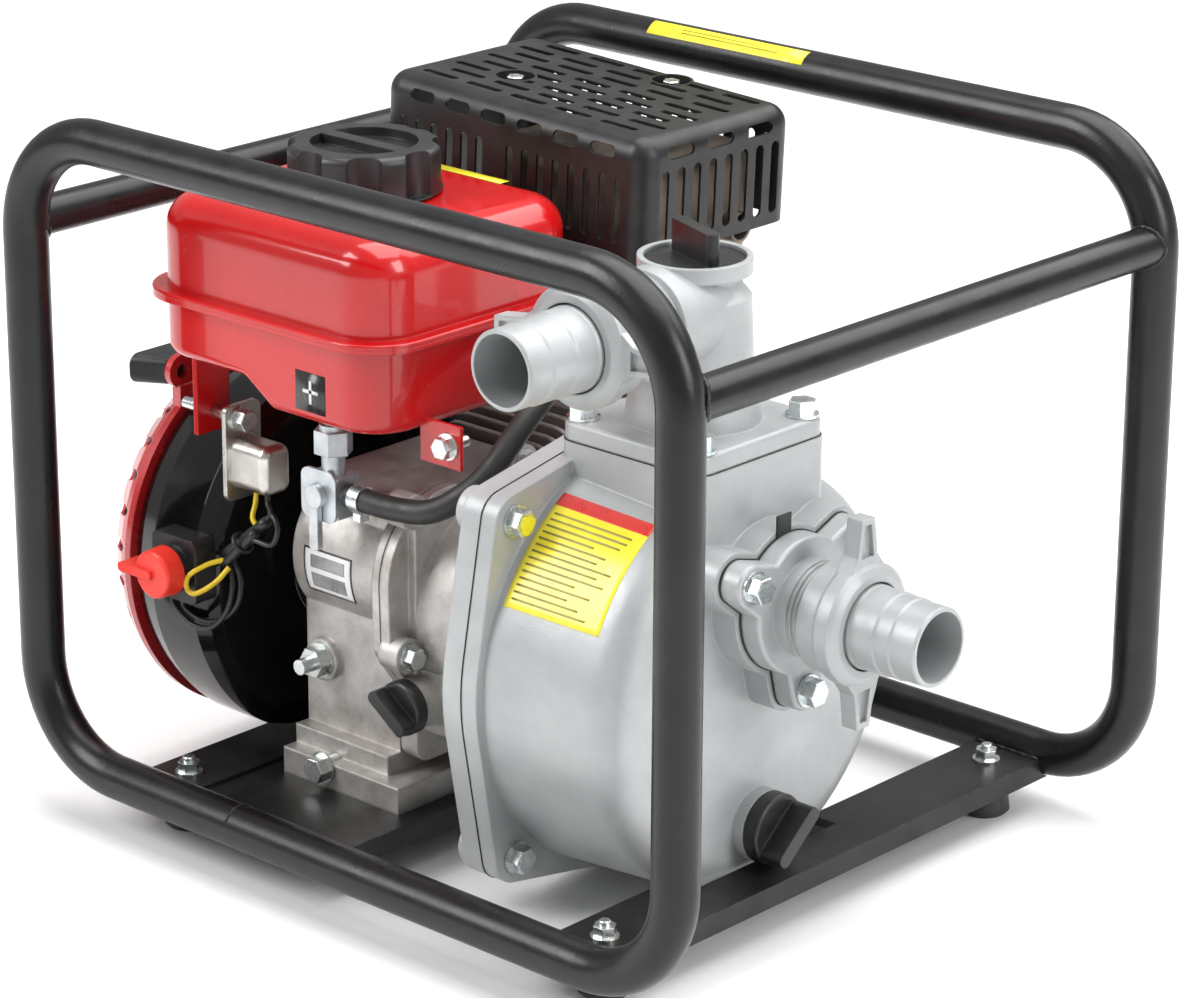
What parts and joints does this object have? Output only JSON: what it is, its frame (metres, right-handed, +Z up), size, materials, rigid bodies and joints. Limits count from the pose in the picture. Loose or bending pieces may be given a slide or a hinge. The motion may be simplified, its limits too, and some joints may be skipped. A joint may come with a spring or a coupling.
{
  "type": "portable fire pump",
  "caption": "Engine-driven self-priming water pump in a carrying tube frame, with threaded suction and delivery hose tails.",
  "frame": {"origin": "on the floor under the middle of the machine's box", "axes": "+Z up; +X along the crankshaft to the suction hose tail; -Y the side the delivery hose tail points to"},
  "size_m": [0.4724, 0.3704, 0.3697],
  "materials": {
    "frame_black": "satin powder coat",
    "rubber_black": "matte",
    "zinc": "zinc plated",
    "engine_casting": "as cast, rough",
    "dark_sheet": "satin black",
    "gloss_black": "gloss black",
    "recoil_red": "gloss red",
    "tank_red": "gloss red",
    "machined_steel": "machined",
    "piston_alloy": "machined",
    "cast_iron": "as cast",
    "black_plastic": "moulded",
    "red_plastic": "moulded",
    "diecast_zinc": "die cast",
    "bare_steel": "bright sheet",
    "wire_sleeve": "insulation",
    "pump_casting": "satin sprayed casting"
  },
  "bodies": {
    "root": {"right_hoop": "frame_black", "left_hoop": "frame_black", "cross_tubes": "frame_black", "front_base_channel": "frame_black", "rear_base_channel": "frame_black", "engine_tray": "frame_black", "rubber_feet": "rubber_black", "fuel_hose": "rubber_black", "gaskets": "rubber_black", "foot_nuts": "zinc", "pump_bolts": "zinc", "engine_bolts": "zinc", "oil_bolts": "zinc", "hose_clamp": "zinc", "crankcase": "engine_casting", "crankcase_cover": "engine_casting", "cylinder": "engine_casting", "cylinder_head": "engine_casting", "valve_cover": "dark_sheet", "muffler_guard": "dark_sheet", "fan_shroud": "gloss_black", "recoil_housing": "recoil_red", "tank_upper": "tank_red", "tank_lower": "tank_red", "connecting_rod": "machined_steel", "piston_pin": "machined_steel", "crank_bearings": "machined_steel", "shaft_seal": "machined_steel", "spark_plug": "machined_steel", "muffler": "machined_steel", "piston": "piston_alloy", "volute": "cast_iron", "switch_base": "black_plastic", "air_cleaner": "black_plastic", "fuel_cock": "diecast_zinc", "carburettor": "diecast_zinc", "ignition_unit": "bare_steel", "ignition_wires": "wire_sleeve", "pump_rear_cover": "pump_casting", "pump_casing": "pump_casting", "outlet_elbow": "pump_casting", "inlet_flange": "pump_casting", "inlet_hose_tail": "pump_casting", "outlet_hose_tail": "pump_casting"},
    "rotor": {"crankshaft": "machined_steel", "rod_big_end": "machined_steel", "flywheel": "cast_iron", "starter_cup": "machined_steel", "impeller": "cast_iron"},
    "recoil_reel": {"recoil_pulley": "black_plastic"},
    "recoil_grip": {"recoil_handle": "black_plastic"},
    "filler_cap": {"fuel_cap": "black_plastic"},
    "cock_lever": {"fuel_cock_lever": "diecast_zinc"},
    "stop_switch": {"switch_knob": "red_plastic"},
    "oil_plug": {"oil_filler_plug": "black_plastic"},
    "priming_plug": {"priming_cap": "black_plastic"},
    "drain_plug": {"pump_drain_plug": "black_plastic"},
    "inlet_nut": {"inlet_union_nut": "pump_casting"},
    "outlet_nut": {"outlet_union_nut": "pump_casting"},
    "suction_flap": {"check_valve_flap": "rubber_black"}
  },
  "joints": [
    {"name": "shaft_spin", "type": "hinge", "parent": "root", "child": "rotor", "pos_m": [0, -0.028, 0.118], "axis": [1, 0, 0], "continuous": true},
    {"name": "recoil_reel_turn", "type": "hinge", "parent": "root", "child": "recoil_reel", "pos_m": [-0.22, -0.028, 0.118], "axis": [1, 0, 0], "range_deg": [0, 572.9]},
    {"name": "recoil_pull", "type": "slide", "parent": "root", "child": "recoil_grip", "axis": [-1, 0, 0], "range_m": [0, 0.45]},
    {"name": "fuel_cap_turn", "type": "hinge", "parent": "root", "child": "filler_cap", "pos_m": [-0.118, -0.045, 0.33], "axis": [0, 0, 1], "range_deg": [0, 90]},
    {"name": "fuel_cock_turn", "type": "hinge", "parent": "root", "child": "cock_lever", "pos_m": [-0.081, -0.116, 0.186], "axis": [0, -1, 0], "range_deg": [0, 90]},
    {"name": "stop_switch_turn", "type": "hinge", "parent": "root", "child": "stop_switch", "pos_m": [-0.166, -0.14, 0.132], "axis": [0, -1, 0], "range_deg": [-60, 0]},
    {"name": "oil_plug_turn", "type": "hinge", "parent": "root", "child": "oil_plug", "pos_m": [-0.037, -0.1, 0.082], "axis": [0, -1, 0], "range_deg": [0, 360]},
    {"name": "priming_plug_turn", "type": "hinge", "parent": "root", "child": "priming_plug", "pos_m": [0.085, -0.028, 0.32], "axis": [0, 0, 1], "range_deg": [0, 360]},
    {"name": "drain_plug_turn", "type": "hinge", "parent": "root", "child": "drain_plug", "pos_m": [0.14, -0.03, 0.0475], "axis": [1, 0, 0], "range_deg": [0, 360]},
    {"name": "inlet_nut_turn", "type": "hinge", "parent": "root", "child": "inlet_nut", "pos_m": [0.18, -0.028, 0.1655], "axis": [1, 0, 0], "continuous": true},
    {"name": "outlet_nut_turn", "type": "hinge", "parent": "root", "child": "outlet_nut", "pos_m": [0.085, -0.1, 0.296], "axis": [0, -1, 0], "continuous": true},
    {"name": "suction_flap_swing", "type": "hinge", "parent": "root", "child": "suction_flap", "pos_m": [0.119, -0.028, 0.1925], "axis": [0, 1, 0], "range_deg": [0, 60]}
  ],
  "couplings": [
    {"joint": "recoil_pull", "follows": "recoil_reel_turn", "m_per_rad": 0.045}
  ]
}
